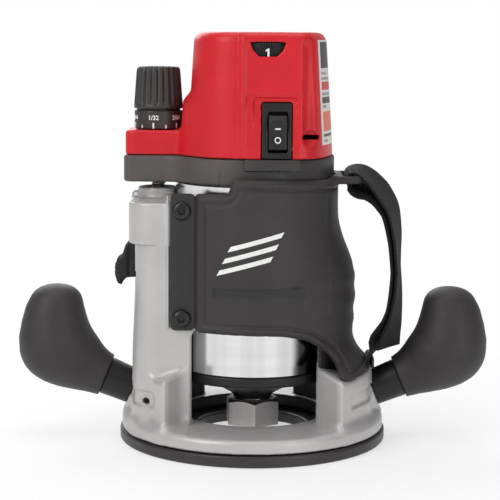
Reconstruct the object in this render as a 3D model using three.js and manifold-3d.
// Fixed-base router: a motor unit that slides in a cast clamp base, with a body grip, a hand strap
// and a screw depth adjuster. Millimetres, +Z up, origin at the bottom centre of the sub-base on
// the motor axis. The switch faces -Y and the adjuster column stands at -X.
import * as THREE from "three";
import { mergeVertices } from "three/addons/utils/BufferGeometryUtils.js";
import Module from "manifold-3d";

const wasm = await Module();
wasm.setup();

// ---- driving dimensions -------------------------------------------------------------------
const GAP = 0.3; // clearance between touching pieces
const INCH = 25.4;
const subBase = { r: 3 * INCH, t: 0.25 * INCH, hole: 1.25 * INCH };
const foot = { r: 75.3, z: subBase.t + GAP, top: 15, bore: 41.5, edge: 1.5 };
const motor = { r: 1.75 * INCH, wall: 2.4, bottom: 42.2, top: 147.5 };
const sleeve = { bore: motor.r + 0.45, r: 49.2, top: 137.5, rightTop: 112 };
const shoulder = { top: 41, ridgeX: 48.5, ridgeY: 54.5 };
const setScrew = { x: 58.8, z: 27, flatY: 36.3, tipY: 10, r: 2.2 };
const pocket = { left: 52.5, right: 71.5, z: 20, top: 32 };
const stripScrew = { x: -37.2, heights: [134, 74.6], hole: 2.3 };
const rearScrew = { turn: 139, heights: [104, 76], hole: 2.3 };
const rod = { x: -54.2, y: 0, r: 4, bottom: 54, top: 206 };
const column = { left: -68.4, front: -40.5, rear: 27, collarZ: 115, collarOut: 1.8, corner: 14 };
const boss = { r: 11.5, top: 143.8, bore: 8.35, boreFloor: 120 };
const flange = { r: 45.4, z: 147.8, top: 163.4, earEnd: -73.4, earHalf: 18 };
const cap = { z: flange.top + GAP, top: 231, wall: 3, earTop: 176.6 };
const face = { left: -7.4, right: 24.7, yLow: -46.3, yHigh: -43.4 };
const rocker = { x: 12.6, z: 177, width: 10, height: 19.4 };
const bezel = { left: 3.9, right: 20.2, z: 164.2, top: 193.2 };
const dial = { x: 7.05, y: -30.4, r: 13, z: 216.2, top: 226.4 };
const nut = { flats: 1.125 * INCH, z: 8.5, top: 22, turn: 5 };
const grip = { front: 53, stripY: -43.8, stripLeft: -46, top: 150, leftTop: 141.5, bottom: 66 };
const handle = { tilt: 22.5, faceX: 72.9, faceZ: 29.3, ferrule: 12.6, boss: 11.6 };
const lever = { pivotX: -65, pivotZ: 97, half: 4.2, slot: 4.9 };
const clamp = { y: 56, z: 112 };
const cord = { x: -4, z: 196, r: 3.4 };
const strap = { width: 38, thickness: 6.8 };
const rad = THREE.MathUtils.degToRad;

// ---- materials ----------------------------------------------------------------------------
const material = (color, roughness, metalness) =>
  new THREE.MeshStandardMaterial({ color, roughness, metalness });
const silverPaint = material(0xb2b2b0, 0.5, 0.3);
const redShell = material(0xc81e28, 0.4, 0);
const charcoal = material(0x55504f, 0.6, 0.1);
const rubber = material(0x3a3636, 0.75, 0);
const blackPlastic = material(0x1e1d1d, 0.55, 0);
const polished = material(0xd9d9d9, 0.2, 1);
const steel = material(0x9a9a9c, 0.35, 1);
const copper = material(0xb56a3a, 0.4, 1);
const webbing = material(0x141414, 0.9, 0);
const labelCard = material(0xe4e2dc, 0.5, 0);
const boardGreen = material(0x2c6b44, 0.6, 0);

// ---- geometry helpers ---------------------------------------------------------------------
// A closed geometry as a manifold solid, and back.
function solid(geometry) {
  if (!geometry.isBufferGeometry) return geometry;
  const g = geometry.index ? geometry.toNonIndexed() : geometry.clone();
  for (const name of Object.keys(g.attributes)) if (name !== "position") g.deleteAttribute(name);
  const merged = mergeVertices(g, 1e-4);
  const vertProperties = new Float32Array(merged.attributes.position.array);
  const triVerts = new Uint32Array(merged.index.array);
  return new wasm.Manifold(new wasm.Mesh({ numProp: 3, vertProperties, triVerts }));
}

function geometryOf(shape) {
  if (shape.isBufferGeometry) return shape;
  const mesh = shape.getMesh();
  const g = new THREE.BufferGeometry();
  g.setAttribute("position", new THREE.BufferAttribute(new Float32Array(mesh.vertProperties), 3));
  g.setIndex(new THREE.BufferAttribute(new Uint32Array(mesh.triVerts), 1));
  g.computeVertexNormals();
  return g;
}

const join = (first, ...rest) => rest.reduce((all, g) => all.add(solid(g)), solid(first));
const cut = (first, ...rest) => rest.reduce((all, g) => all.subtract(solid(g)), solid(first));
const keep = (first, ...rest) => rest.reduce((all, g) => all.intersect(solid(g)), solid(first));

// A solid of revolution about Z; the profile's points are [radius, z] and close on themselves.
function turned(profile, segments = 24) {
  const points = [...profile, profile[0]].map(([r, z]) => new THREE.Vector2(r, z));
  const area = points.slice(1).reduce((sum, p, i) => sum + points[i].cross(p), 0);
  if (area < 0) points.reverse();
  return new THREE.LatheGeometry(points, segments).rotateX(Math.PI / 2);
}

const disc = (r, z0, z1, segments = 24) =>
  new THREE.CylinderGeometry(r, r, z1 - z0, segments)
    .rotateX(Math.PI / 2)
    .translate(0, 0, (z0 + z1) / 2);
const ring = (rOut, rIn, z0, z1, segments = 24) =>
  turned([[rIn, z0], [rOut, z0], [rOut, z1], [rIn, z1]], segments);
const block = (x0, x1, y0, y1, z0, z1) =>
  new THREE.BoxGeometry(x1 - x0, y1 - y0, z1 - z0).translate(
    (x0 + x1) / 2, (y0 + y1) / 2, (z0 + z1) / 2);

// A shape in plan, extruded from z0 to z1.
const plan = (shape, z0, z1, curveSegments = 6) =>
  new THREE.ExtrudeGeometry(shape, { depth: z1 - z0, bevelEnabled: false, curveSegments })
    .translate(0, 0, z0);

// A shape drawn in X and Z, extruded along Y from y0 to y1.
const elevation = (points, y0, y1) =>
  new THREE.ExtrudeGeometry(new THREE.Shape(points.map(([x, z]) => new THREE.Vector2(x, z))), {
    depth: y1 - y0, bevelEnabled: false,
  }).rotateX(Math.PI / 2).translate(0, y1, 0);

// A shape drawn in Y and Z, extruded along X from x0 to x1.
const profileYZ = (points, x0, x1) =>
  new THREE.ExtrudeGeometry(new THREE.Shape(points.map(([y, z]) => new THREE.Vector2(y, z))), {
    depth: x1 - x0, bevelEnabled: false,
  }).rotateY(Math.PI / 2).rotateX(Math.PI / 2).translate(x0, 0, 0);

const polygon = (points) => new THREE.Shape(points.map(([x, y]) => new THREE.Vector2(x, y)));

// A rectangle with its four corners rounded by radius c.
function rounded(x0, x1, y0, y1, c) {
  const s = new THREE.Shape();
  s.moveTo(x0 + c, y0);
  s.lineTo(x1 - c, y0);
  s.absarc(x1 - c, y0 + c, c, -Math.PI / 2, 0, false);
  s.lineTo(x1, y1 - c);
  s.absarc(x1 - c, y1 - c, c, 0, Math.PI / 2, false);
  s.lineTo(x0 + c, y1);
  s.absarc(x0 + c, y1 - c, c, Math.PI / 2, Math.PI, false);
  s.lineTo(x0, y0 + c);
  s.absarc(x0 + c, y0 + c, c, Math.PI, 1.5 * Math.PI, false);
  return s;
}

// A closed skin through outlines of equal point count, one outline for each height.
function loft(outlines, heights) {
  const n = outlines[0].length;
  const positions = outlines.flatMap((o, k) => o.flatMap(([x, y]) => [x, y, heights[k]]));
  const index = [];
  for (let k = 0; k + 1 < outlines.length; k++)
    for (let i = 0; i < n; i++) {
      const a = k * n + i, b = k * n + ((i + 1) % n);
      index.push(a, b, b + n, a, b + n, a + n);
    }
  const lid = (outline) =>
    THREE.ShapeUtils.triangulateShape(outline.map(([x, y]) => new THREE.Vector2(x, y)), []);
  const last = (outlines.length - 1) * n;
  for (const [a, b, c] of lid(outlines[0])) index.push(a, c, b);
  for (const [a, b, c] of lid(outlines.at(-1))) index.push(last + a, last + b, last + c);
  const g = new THREE.BufferGeometry();
  g.setAttribute("position", new THREE.BufferAttribute(new Float32Array(positions), 3));
  return g.setIndex(index);
}

// A rod along any axis from point a to point b.
function bar(a, b, r, segments = 20, rEnd = r) {
  const from = new THREE.Vector3(...a), to = new THREE.Vector3(...b);
  const turn = new THREE.Quaternion().setFromUnitVectors(
    new THREE.Vector3(0, 1, 0), to.clone().sub(from).normalize());
  const g = new THREE.CylinderGeometry(rEnd, r, from.distanceTo(to), segments);
  const middle = from.add(to).multiplyScalar(0.5);
  return g.applyQuaternion(turn).translate(middle.x, middle.y, middle.z);
}

const router = new THREE.Group();
const base = new THREE.Group(), motorUnit = new THREE.Group(), rotor = new THREE.Group();
router.add(base, motorUnit);
motorUnit.add(rotor);

function piece(parent, name, shape, surface) {
  const mesh = new THREE.Mesh(geometryOf(shape), surface);
  mesh.name = name;
  parent.add(mesh);
  return mesh;
}

// ---- base: casting ------------------------------------------------------------------------
const handleDir = [Math.cos(rad(handle.tilt)), Math.sin(rad(handle.tilt))];
// A point on a handle's axis, d outward from the shoulder's face; side is -1 left or 1 right.
const onHandle = (side, d) =>
  [side * (handle.faceX + d * handleDir[0]), 0, handle.faceZ + d * handleDir[1]];

const handleBoss = (side) => bar(onHandle(side, -30), onHandle(side, 0), handle.boss, 20);

// A point at radius r round the motor axis, turned from the front towards the right.
const radial = (r, z, turn = rearScrew.turn) =>
  [r * Math.sin(rad(turn)), -r * Math.cos(rad(turn)), z];
const subScrews = [20, 140, 260].map((a) => [58 * Math.cos(rad(a)), 58 * Math.sin(rad(a))]);

// A point on a set screw's axis: the left screw is reached from the front, the right one from
// the rear.
const onSetScrew = (side, y) => [side * setScrew.x, side * y, setScrew.z];

function shoulderBlock(side) {
  const { ridgeX, ridgeY, top } = shoulder;
  const half = [[34, ridgeY - 21], [ridgeX, ridgeY], [58, 37], [68, 22], [70.5, 0]];
  const outline = [...half, ...half.slice(0, 4).reverse().map(([x, y]) => [x, -y])];
  const signed = outline.map(([x, y]) => [side * x, -y]);
  if (side > 0) signed.reverse();
  const body = plan(polygon(signed.reverse()), foot.z + 2, top);
  return join(body, handleBoss(side));
}

function baseCasting() {
  const e = foot.edge;
  const ringFoot = turned([[foot.bore, foot.z], [foot.r, foot.z], [foot.r, foot.top - e],
    [foot.r - e, foot.top], [foot.bore, foot.top]], 40);
  const barrel = disc(sleeve.r, foot.z + 2, sleeve.top, 36);
  const { left, front, rear, corner, collarZ, collarOut } = column;
  const post = plan(rounded(left, -28, front, rear, corner), foot.z + 2, sleeve.top);
  const collar = plan(rounded(left - collarOut, -34, front + 5, rear + collarOut, corner + 1),
    collarZ, sleeve.top);
  const bossRing = disc(boss.r, sleeve.top - 4, boss.top, 24).translate(rod.x, rod.y, 0);
  const nub = disc(2.6, sleeve.top - 6, 142.4, 16).translate(-67.2, rod.y, 0);
  const ears = block(-11, 11, 44, 62.5, 99, 125);
  let body = join(ringFoot, barrel, post, collar, bossRing, nub, ears,
    shoulderBlock(-1), shoulderBlock(1));
  body = keep(body, join(disc(foot.r, foot.z, 46, 40), block(-90, 90, -60, 65, 45, 160),
    handleBoss(-1), handleBoss(1)));
  const rightTop = block(15, 70, -60, 60, sleeve.rightTop, 160);
  const frontWindow = elevation([[-34, 64], [-34, 20], [-29, foot.top], [30, foot.top], [35.5, 20],
    [35.5, 64], [30.5, 69], [-29, 69]], -70, -20);
  const rearWindow = elevation([[-28.5, 60], [-28.5, foot.top], [24.5, foot.top], [24.5, 60]], 20, 64);
  const split = block(-1.5, 1.5, 40, 70, 70, 160);
  const leverSlot = block(-80, rod.x, -lever.slot, lever.slot, 85.5, collarZ + 0.2);
  const pinHole = bar([lever.pivotX, -10.2, lever.pivotZ], [lever.pivotX, 10.2, lever.pivotZ], 1.8);
  body = cut(body, disc(sleeve.bore, 0, 160, 40).translate(0, 0, foot.top),
    disc(foot.bore, 0, foot.top + 1, 40), rightTop, frontWindow, rearWindow, split, leverSlot,
    pinHole,
    disc(boss.bore, boss.boreFloor, 160, 32).translate(rod.x, rod.y, 0),
    disc(rod.r + 1, 20, 160, 24).translate(rod.x, rod.y, 0),
    bar([-25, clamp.y, clamp.z], [25, clamp.y, clamp.z], 3.4));
  for (const side of [-1, 1]) {
    const flatEdges = [side * setScrew.flatY, side * 62].sort((a, b) => a - b);
    const x = side * setScrew.x;
    body = cut(body,
      bar(onHandle(side, -22), onHandle(side, 2), 4.4, 12), // socket of the handle's stud
      bar(onHandle(side, 0), onHandle(side, 16), 12.6, 20), // spot face under the ferrule
      block(x - 6.5, x + 6.5, ...flatEdges, 19.5, 34), // flat for the set screw
      bar(onSetScrew(side, 40), onSetScrew(side, 8), 2.6, 16));
  }
  // The right shoulder's front carries a plain pocket instead of a set screw.
  body = cut(body, block(pocket.left, pocket.right, -62, -37, pocket.z, pocket.top));
  for (const z of stripScrew.heights)
    body = cut(body, bar([stripScrew.x, -50, z], [stripScrew.x, -30.5, z], stripScrew.hole, 12));
  for (const z of rearScrew.heights)
    body = cut(body, bar(radial(46.5, z), radial(60, z), rearScrew.hole, 12));
  for (const [x, y] of subScrews) body = cut(body, disc(2.3, 0, 12, 16).translate(x, y, 0));
  return body;
}

piece(base, "base_casting", baseCasting(), silverPaint);

function subBasePlate() {
  const c = 0.8;
  let plate = solid(turned([[subBase.hole, 0], [subBase.r - c, 0], [subBase.r, c],
    [subBase.r, subBase.t - c], [subBase.r - c, subBase.t], [subBase.hole, subBase.t]], 40));
  for (const [x, y] of subScrews)
    plate = cut(plate, turned([[0, -1], [5.3, -1], [5.3, 0.9], [2.5, 3.7], [2.5, 8], [0, 8]], 12)
      .translate(x, y, 0));
  return plate;
}
piece(base, "sub_base", subBasePlate(), blackPlastic);
subScrews.forEach(([x, y], i) => {
  const screw = turned([[0, 0.9], [4.7, 0.9], [2, 3.6], [2, 11.6], [0, 11.6]], 12);
  piece(base, `sub_base_screw_${i + 1}`, screw, steel).position.set(x, y, 0);
});

// ---- base: handles ------------------------------------------------------------------------
// Each knob is a cone that leaves the ferrule and a lobe that rises from its elbow.
const elbow = { x: 113, z: 51.2, r: 20.7 };
function handleGrip(side) {
  const centre = [side * elbow.x, 0, elbow.z];
  const collar = bar(onHandle(side, handle.ferrule + 1.5), onHandle(side, 26), 11.2, 16, 13.8);
  const stem = bar(onHandle(side, 21), centre, 12.4, 16, 18.4);
  const ball = new THREE.SphereGeometry(elbow.r, 16, 10).rotateX(Math.PI / 2)
    .translate(...centre);
  const lobe = turned([[0, 0], [elbow.r, 0], [elbow.r - 1.4, 8], [17.2, 15], [15.3, 22], [13.4, 28],
    [10.2, 33], [5.5, 35.9], [0, 36.8]], 16);
  lobe.rotateY(rad(side * -1.2)).translate(...centre);
  const socket = bar(onHandle(side, 0), onHandle(side, 38), 4.4, 12);
  return cut(join(collar, stem, ball, lobe), socket);
}

function handleFerrule(side) {
  const body = bar(onHandle(side, GAP), onHandle(side, handle.ferrule + 1.2), 10.1, 16, 10.9);
  return cut(body, bar(onHandle(side, -1), onHandle(side, 20), 4.4, 12));
}

for (const [side, word] of [[-1, "left"], [1, "right"]]) {
  piece(base, `${word}_handle_grip`, handleGrip(side), rubber);
  piece(base, `${word}_handle_ferrule`, handleFerrule(side), blackPlastic);
  piece(base, `${word}_handle_stud`, bar(onHandle(side, -20), onHandle(side, 36), 4, 12), steel);
  piece(base, `${word}_set_screw`,
    bar(onSetScrew(side, setScrew.flatY + 1.3), onSetScrew(side, setScrew.tipY), setScrew.r, 12),
    steel);
}

// ---- base: body grip and strap ------------------------------------------------------------
// The grip's reach to the right at each height: a waist above, a palm swell, a flared foot.
const reach = new THREE.SplineCurve([[41.2, 66], [46, 65.2], [51.5, 59.8], [60, 57.6], [73, 57.9],
  [88, 58.3], [100, 57], [108, 54.4], [116, 51.2], [124, 48.9], [132, 48], [150, 48]]
  .map(([z, x]) => new THREE.Vector2(z, x)));

function bodyGrip() {
  const levels = Array.from({ length: 10 }, (_, i) => reach.getPoint(i / 9));
  const from = -38, to = 152, steps = 20;
  const outlines = levels.map(({ y: width }) => {
    const outer = Array.from({ length: steps + 1 }, (_, i) => {
      const a = rad(from + ((to - from) * i) / steps);
      return [width * Math.sin(a), -grip.front * Math.cos(a)];
    });
    const inner = Array.from({ length: steps + 1 }, (_, i) => {
      const a = rad(to - ((to - from) * i) / steps);
      return [42 * Math.sin(a), -42 * Math.cos(a)];
    });
    return [...outer, ...inner];
  });
  const body = loft(outlines, levels.map((p) => p.x));
  const below = [[-60, 30], [-60, grip.bottom], [20, grip.bottom], [30, 62.5], [35.9, 57],
    [36.4, 30]];
  const strip = plan(rounded(grip.stripLeft, -27, grip.stripY, grip.stripY + 3, 0.8), 68.6, 143.6);
  const tab = cut(plan(rounded(44, 60, -20.5, 20.5, 4), grip.top - 3, 154.6),
    block(50.5, 55.5, -17.5, 17.5, 140, 160));
  let all = join(body, strip, tab);
  all = cut(all, disc(46, 0, 147.2, 36).translate(0, 0, 40),
    disc(sleeve.r + GAP, 0, sleeve.rightTop + 0.4 - 40, 36).translate(0, 0, 40),
    keep(disc(sleeve.r + GAP, 40, 170, 36), block(-60, 15.4, -60, 60, 40, 170)),
    disc(flange.r + 0.6, 140, 170, 36),
    elevation(below, -80, 0), elevation(below, 0, 80),
    block(-80, -14, -80, -44, grip.leftTop, 170), block(-80, -31, -60, -44.3, 30, 170),
    block(-80, -27, -40.8, -20, 30, 170));
  for (const z of stripScrew.heights)
    all = cut(all, bar([stripScrew.x, -50, z], [stripScrew.x, -30, z], 2.5, 12));
  for (const z of rearScrew.heights)
    all = cut(all, bar(radial(44, z), radial(70, z), 2.5, 12));
  return all;
}
piece(base, "body_grip", bodyGrip(), rubber);

// A round-head screw: shank along +Z from 0, head above it.
const roundHead = (length, headR, headH) => turned([[0, -length], [2, -length], [2, 0], [headR, 0],
  [headR, headH * 0.45], [headR * 0.72, headH * 0.86], [0, headH]], 12);
stripScrew.heights.forEach((z, i) => {
  const screw = piece(base, `grip_screw_${i + 1}`, roundHead(12, 5.1, 2.4), steel);
  screw.rotation.x = Math.PI / 2;
  screw.position.set(stripScrew.x, grip.stripY - GAP, z);
});
rearScrew.heights.forEach((z, i) => {
  const screw = piece(base, `grip_screw_${i + 3}`, roundHead(7, 4.2, 2.2), steel);
  const [x, y] = radial(1, 0);
  screw.quaternion.setFromUnitVectors(new THREE.Vector3(0, 0, 1), new THREE.Vector3(x, y, 0));
  screw.position.set(...radial(57.2, z));
});

// The strap leaves the tab, bows out and comes back to the grip's flared foot.
function handStrap() {
  const route = new THREE.CatmullRomCurve3([[61.2, 154.4], [66.6, 152.6], [72.4, 144], [78, 131],
    [81.2, 118], [81.9, 100], [81.6, 80], [79.6, 66], [74.5, 56.5], [68.6, 50.6]]
    .map(([x, z]) => new THREE.Vector3(x, 0, z)));
  const section = rounded(-strap.width / 2, strap.width / 2, -strap.thickness / 2,
    strap.thickness / 2, 1);
  return new THREE.ExtrudeGeometry(section, { steps: 16, extrudePath: route, curveSegments: 1 });
}
piece(base, "hand_strap", handStrap(), webbing);
piece(base, "strap_anchor", block(67.2, 69.4, -12, 12, 41.6, 47.2), steel);

// ---- base: release lever, pin, spring and clamp --------------------------------------------
function releaseLever() {
  const outline = [[-70.4, 114.2], [-73.4, 108.5], [-77.4, 103], [-78.6, 97], [-78.4, 92.4],
    [-76.8, 88.4], [-74.6, 88.2], [-73, 91.5], [-69.5, 91.5], [-62, 92], [-60.4, 95],
    [-60.4, 101.5], [-58.6, 103.5], [-58.6, 112.6], [-66, 113.4]];
  const body = elevation(outline.reverse(), -lever.half, 1.2);
  return cut(body, bar([lever.pivotX, -9, lever.pivotZ], [lever.pivotX, 9, lever.pivotZ], 1.8));
}
piece(base, "release_lever", releaseLever(), blackPlastic);
piece(base, "lever_pin", bar([lever.pivotX, -9.8, lever.pivotZ], [lever.pivotX, 9.8, lever.pivotZ],
  1.5, 16), steel);
const coil = piece(base, "lever_spring", ring(3.4, 1.9, 0, 2.8, 24), steel);
coil.rotation.x = -Math.PI / 2;
coil.position.set(lever.pivotX, 1.6, lever.pivotZ);

piece(base, "clamp_bolt", bar([-21.5, clamp.y, clamp.z], [15.8, clamp.y, clamp.z], 3, 20), steel);
const clampNut = cut(new THREE.CylinderGeometry(6.2, 6.2, 4.4, 6),
  new THREE.CylinderGeometry(3.3, 3.3, 9, 20));
const nutMesh = piece(base, "clamp_nut", clampNut, steel);
nutMesh.rotation.z = Math.PI / 2;
nutMesh.position.set(13.5, clamp.y, clamp.z);

function clampLever() {
  const hub = bar([-20, clamp.y, clamp.z], [-11.3, clamp.y, clamp.z], 7.6, 28);
  const arm = profileYZ([[52, 112], [60.5, 112], [61.5, 92], [64, 76.5], [62.5, 73.5], [59, 74.5],
    [55.2, 90]], -19.2, -12.2);
  return cut(join(hub, arm), bar([-30, clamp.y, clamp.z], [0, clamp.y, clamp.z], 3.3));
}
piece(base, "clamp_lever", clampLever(), blackPlastic);

// ---- motor unit: tube, nose and flange ------------------------------------------------------
piece(motorUnit, "motor_housing",
  ring(motor.r, motor.r - motor.wall, motor.bottom, motor.top, 36), polished);

const nose = { ring: 44.2, z: 36, coneR: 26, neckR: 11.1, neckZ: 22.5, coneEnd: 24.6 };
piece(motorUnit, "lower_bearing_housing", turned([[9.8, nose.neckZ], [nose.neckR, nose.neckZ],
  [nose.neckR, nose.coneEnd], [nose.coneR, nose.z - 0.6], [nose.coneR + 2, nose.z],
  [nose.ring, nose.z], [nose.ring, motor.bottom - GAP], [41.6, motor.bottom - GAP],
  [41.6, 49], [39.6, 49], [39.6, 42], [18, 42], [15.3, 42], [15.3, 28.6], [9.8, 28.6]], 30),
  blackPlastic);
piece(motorUnit, "lower_bearing", ring(15, 9.7, 29, 41), steel);

// The flange's outline: a disc joined to the ear that carries the adjuster.
function flangeOutline(r, end, half, corner) {
  const s = new THREE.Shape();
  const a = Math.asin(half / r);
  s.absarc(0, 0, r, -Math.PI + a, Math.PI - a, false);
  s.lineTo(end + corner, half);
  s.absarc(end + corner, half - corner, corner, Math.PI / 2, Math.PI, false);
  s.lineTo(end, -half + corner);
  s.absarc(end + corner, -half + corner, corner, Math.PI, 1.5 * Math.PI, false);
  return s;
}

const capScrews = [[28.8, -31.2], [24, 28]];
function endBell() {
  const { r, z, top, earEnd, earHalf } = flange;
  let body = join(plan(flangeOutline(r, earEnd, earHalf, 5), z, top, 16),
    block(face.left, face.right, face.yLow - 0.4, -30, 156.8, top),
    disc(13.5, top - 4, cap.z + 14, 32));
  body = cut(body, disc(41, z - 1, 160, 32), disc(9.3, 150, 190, 28),
    disc(7.3, 140, 170, 24).translate(rod.x, rod.y, 0));
  for (const [x, y] of capScrews) body = cut(body, disc(2.1, 140, 170, 16).translate(x, y, 0));
  return body;
}
piece(motorUnit, "end_bell", endBell(), charcoal);
piece(motorUnit, "upper_bearing", ring(9, 4.3, 168.4, 176.4, 28), steel);
piece(motorUnit, "rod_bushing", ring(7, 4.3, 148.6, 163, 24), steel)
  .position.set(rod.x, rod.y, 0);

// ---- motor unit: top cap --------------------------------------------------------------------
// The cap's outline at height z, drawn in by an inset: a flat front, a round right side and a
// flatter left side beside the adjuster. It narrows towards the top.
function capOutline(z, inset = 0) {
  const t = (z - cap.z) / (cap.top - cap.z);
  const left = -37.6 + 4.2 * t + inset, right = 44.4 - 4.6 * t - inset;
  const front = THREE.MathUtils.lerp(face.yLow, face.yHigh, t) + inset;
  const rear = 44 - 4 * t - inset;
  const arc = (cx, cy, rx, ry, a0, a1, n) => Array.from({ length: n + 1 }, (_, i) => {
    const a = rad(a0 + ((a1 - a0) * i) / n);
    return [cx + rx * Math.cos(a), cy + ry * Math.sin(a)];
  });
  return [
    ...arc(face.right, 4, right - face.right, -front + 4, -90, 0, 6),
    ...arc(6, 4, right - 6, rear - 4, 0, 90, 6).slice(1),
    ...arc(-10, 4, -left - 10, rear - 4, 90, 180, 5).slice(1),
    ...arc(face.left, -14, -left + face.left, -front - 14, 180, 270, 5).slice(1),
  ];
}

function topCap() {
  const heights = [cap.z, 184, 206, cap.top - 6, cap.top - 1.8, cap.top];
  const insets = [0, 0, 0, 0, 1.6, 5.4];
  const shell = loft(heights.map((z, i) => capOutline(z, insets[i])), heights);
  const ear = plan(flangeOutline(38, flange.earEnd + 0.6, flange.earHalf - 0.5, 5), cap.z,
    cap.earTop, 6);
  const hollow = loft([cap.z - 1, 200, cap.top - 4].map((z, i) => capOutline(z, 3 + i)),
    [cap.z - 1, 200, cap.top - cap.wall]);
  let body = cut(join(shell, ear), hollow);
  body = cut(body,
    disc(6, 150, 190, 24).translate(rod.x, rod.y, 0),
    elevation([[-2.3, 225.2], [-0.6, 221.5], [2.5, 218.4], [11.7, 218.4], [14.8, 221.5],
      [16.4, 225.2]].reverse(), -50, -36),
    // The recess round the switch, deepest at its top.
    profileYZ([[-50, 196.6], [-42.9, 196.6], [-46.6, 171], [-50, 171]].reverse(), -0.3, 24.4),
    block(bezel.left - GAP, bezel.right + GAP, -60, -38, 160, bezel.top + GAP),
    disc(dial.r + 0.5, dial.z - 0.5, dial.top + 0.5, 28).translate(dial.x, dial.y, 0),
    bar([cord.x, 36, cord.z], [cord.x, 50, cord.z], 6.9, 24), // hole for the cord gland
    disc(4, 172, 214, 20).translate(30.5, -42.2, 0),
    block(27.6, 35.2, -60, -37.5, 167, 170.4));
  return body;
}
piece(motorUnit, "top_cap", topCap(), redShell);

const labelBand = cut(loft([capOutline(168, -0.7), capOutline(225, -0.7)], [168, 225]),
  loft([capOutline(167, -0.3), capOutline(226, -0.3)], [167, 226]));
piece(motorUnit, "rating_label", keep(labelBand, block(34, 60, -30, -4, 160, 230)), labelCard);
capScrews.forEach(([x, y], i) => {
  const screw = turned([[0, 152], [1.7, 152], [1.7, 164.6], [3.6, 164.6], [3.6, 167.6],
    [0, 167.6]], 16);
  piece(motorUnit, `cap_screw_${i + 1}`, screw, steel).position.set(x, y, 0);
});

// ---- motor unit: switch, dial and electronics -----------------------------------------------
function switchBezel() {
  const { left, right, z, top } = bezel;
  const plate = profileYZ([[-46.6, z], [-43, z], [-40.6, top], [-43.4, top]].reverse(), left, right);
  const box = block(left + 1.4, right - 1.4, -44, -24, 166, 190);
  const window = block(rocker.x - rocker.width / 2 - GAP, rocker.x + rocker.width / 2 + GAP,
    -60, -34, rocker.z - rocker.height / 2 - 0.8, rocker.z + rocker.height / 2 + 1.5);
  return cut(join(plate, box), window);
}
piece(motorUnit, "switch_bezel", switchBezel(), blackPlastic);

// The rocker rests in its off position, with its upper half proud.
function rockerKey() {
  const h = rocker.height / 2, z = rocker.z;
  const side = [[-44, z - h], [-46.4, z - h + 1], [-45.6, z], [-48.4, z + h - 1.2], [-46.6, z + h],
    [-40, z + h - 1.6], [-38.6, z], [-40, z - h + 1.6]];
  return profileYZ(side.reverse(), rocker.x - rocker.width / 2, rocker.x + rocker.width / 2);
}
piece(motorUnit, "switch_rocker", rockerKey(), blackPlastic);

function speedDial() {
  const notches = 20, rOut = dial.r, rIn = dial.r - 0.5;
  const points = Array.from({ length: notches * 2 }, (_, i) => {
    const a = (Math.PI * i) / notches, r = i % 2 ? rIn : rOut;
    return [r * Math.cos(a), r * Math.sin(a)];
  });
  return cut(plan(polygon(points), dial.z, dial.top), disc(3, 200, 240, 16));
}
piece(motorUnit, "speed_dial", speedDial(), blackPlastic).position.set(dial.x, dial.y, 0);
const board = join(block(-20, 24, -26, 22, 203, 204.8),
  disc(2.6, 204, dial.top - 1, 16).translate(dial.x, dial.y, 0),
  block(dial.x - 6, dial.x + 6, dial.y - 1, -20, 203, 210), // the dial's potentiometer
  block(-14, -4, -6, 12, 204, 211),
  block(4, 18, 2, 14, 204, 209));
piece(motorUnit, "speed_board", board, boardGreen);

// The gland's collar, the neck that sits in the cap's hole and the tapered boot behind it.
const onCord = (y) => [cord.x, y, cord.z];
const gland = join(bar(onCord(43.2), onCord(46.4), 8.6, 24), bar(onCord(37), onCord(46), 6.5, 24),
  bar(onCord(45.5), onCord(64), 6.6, 24, 4.8));
piece(motorUnit, "cord_gland", cut(gland, bar(onCord(36), onCord(66), cord.r, 16)), blackPlastic);

// ---- motor unit: field, baffle and brushes ----------------------------------------------------
piece(motorUnit, "field_stator", ring(41.6, 27.4, 64, 114), steel);
piece(motorUnit, "fan_baffle", ring(41.6, 24.5, 57, 59), blackPlastic);
for (const [side, word] of [[-1, "left"], [1, "right"]]) {
  const holder = cut(block(16.4, 38, -5.5, 5.5, 150.5, 159.4),
    block(10, 45, -3.6, 3.6, 152.2, 157.8));
  const brush = block(15.1, 30, -3.2, 3.2, 152.6, 157.4);
  const turn = side < 0 ? Math.PI : 0;
  piece(motorUnit, `brush_holder_${word}`, holder, copper).rotation.z = turn;
  piece(motorUnit, `carbon_brush_${word}`, brush, charcoal).rotation.z = turn;
}

// ---- rotor, collet and nut --------------------------------------------------------------------
// The spindle's end: a threaded nose round the taper that holds the collet.
const spindle = { z: 11, thread: 10.9, shoulder: 21.8, mouth: 9.55, deep: 7.75, taperEnd: 38 };
piece(rotor, "armature_shaft", turned([[spindle.mouth, spindle.z], [spindle.thread, spindle.z],
  [spindle.thread, spindle.shoulder], [9.4, spindle.shoulder], [9.4, 44], [8, 44], [8, 124],
  [6, 124], [6, 167.6], [4, 167.6], [4, 177], [0, 177], [0, spindle.taperEnd],
  [spindle.deep, spindle.taperEnd]], 20), steel);
piece(rotor, "armature_core", ring(26.2, 8.4, 66, 112), steel);
const lowerWinding = [[8.5, 60.5], [20, 60.5], [23, 63], [23, 65.6], [8.5, 65.6]];
const upperWinding = [[8.5, 112.4], [23, 112.4], [23, 115.5], [19, 119.5], [8.5, 119.5]];
piece(rotor, "winding_lower", turned(lowerWinding, 24), copper);
piece(rotor, "winding_upper", turned(upperWinding, 24), copper);
piece(rotor, "commutator", ring(14.6, 6.4, 146, 158.6), copper);

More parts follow.
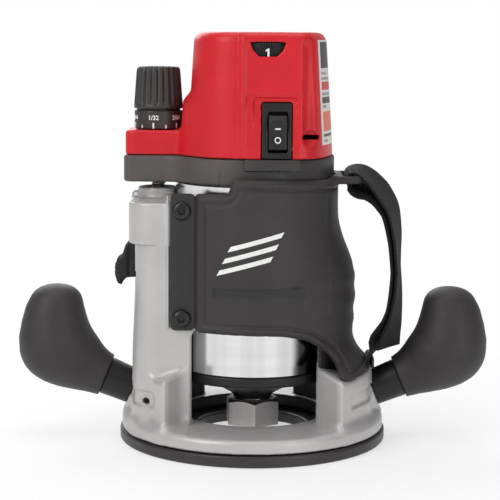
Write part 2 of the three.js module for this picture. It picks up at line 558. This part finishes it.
function coolingFan() {
  const blades = 7;
  let fan = join(ring(13, 8.4, 50, 56.4, 16), ring(34, 12, 50, 51.4, 20));
  for (let i = 0; i < blades; i++)
    fan = join(fan, block(12.4, 33.6, -0.8, 0.8, 51, 56.2).rotateZ((2 * Math.PI * i) / blades));
  return fan;
}
piece(rotor, "cooling_fan", coolingFan(), blackPlastic);

piece(rotor, "collet", turned([[6.35, 10.6], [9.2, 10.6], [7.4, 37.4], [6.35, 37.4]], 24), steel);

function colletNut() {
  const corner = nut.flats / Math.sqrt(3);
  const hex = new THREE.CylinderGeometry(corner, corner, nut.top - nut.z, 6)
    .rotateX(Math.PI / 2).translate(0, 0, (nut.z + nut.top) / 2);
  const chamfer = turned([[0, nut.z - 1], [corner - 2, nut.z - 1], [corner, nut.z + 1.2],
    [corner, nut.top - 1.9], [corner - 2.6, nut.top], [0, nut.top]], 30);
  const body = keep(hex, chamfer);
  return cut(body, disc(11.2, 10.2, 30, 24), disc(6.7, 0, 12, 24))
    .rotate([0, 0, nut.turn]);
}
piece(rotor, "collet_nut", colletNut(), steel);

// ---- depth adjuster -----------------------------------------------------------------------------
const adjuster = new THREE.Group();
adjuster.position.set(rod.x, rod.y, 0);
motorUnit.add(adjuster);

function depthKnob() {
  const flutes = 16, low = 13.8, high = 12;
  const outline = (r, groove) => Array.from({ length: flutes * 2 }, (_, i) => {
    const a = (Math.PI * i) / flutes;
    const depth = i % 2 ? groove : 0;
    return [(r - depth) * Math.cos(a), (r - depth) * Math.sin(a)];
  });
  const body = loft([outline(low, 0), outline(low, 0), outline(low - 0.1, 0.7), outline(high, 0.7),
    outline(high - 1.4, 0)], [188.6, 190.6, 191.2, 211.4, 212.6]);
  return cut(join(body, disc(9.2, 178, 189, 32)), disc(4.3, 170, 208, 24));
}
piece(adjuster, "depth_knob", depthKnob(), blackPlastic);
piece(adjuster, "depth_ring", ring(13.5, 9.5, cap.earTop + GAP + 0.2, 188.2, 28), blackPlastic);
piece(adjuster, "depth_rod", disc(rod.r, rod.bottom, rod.top, 28), steel);

export default router;
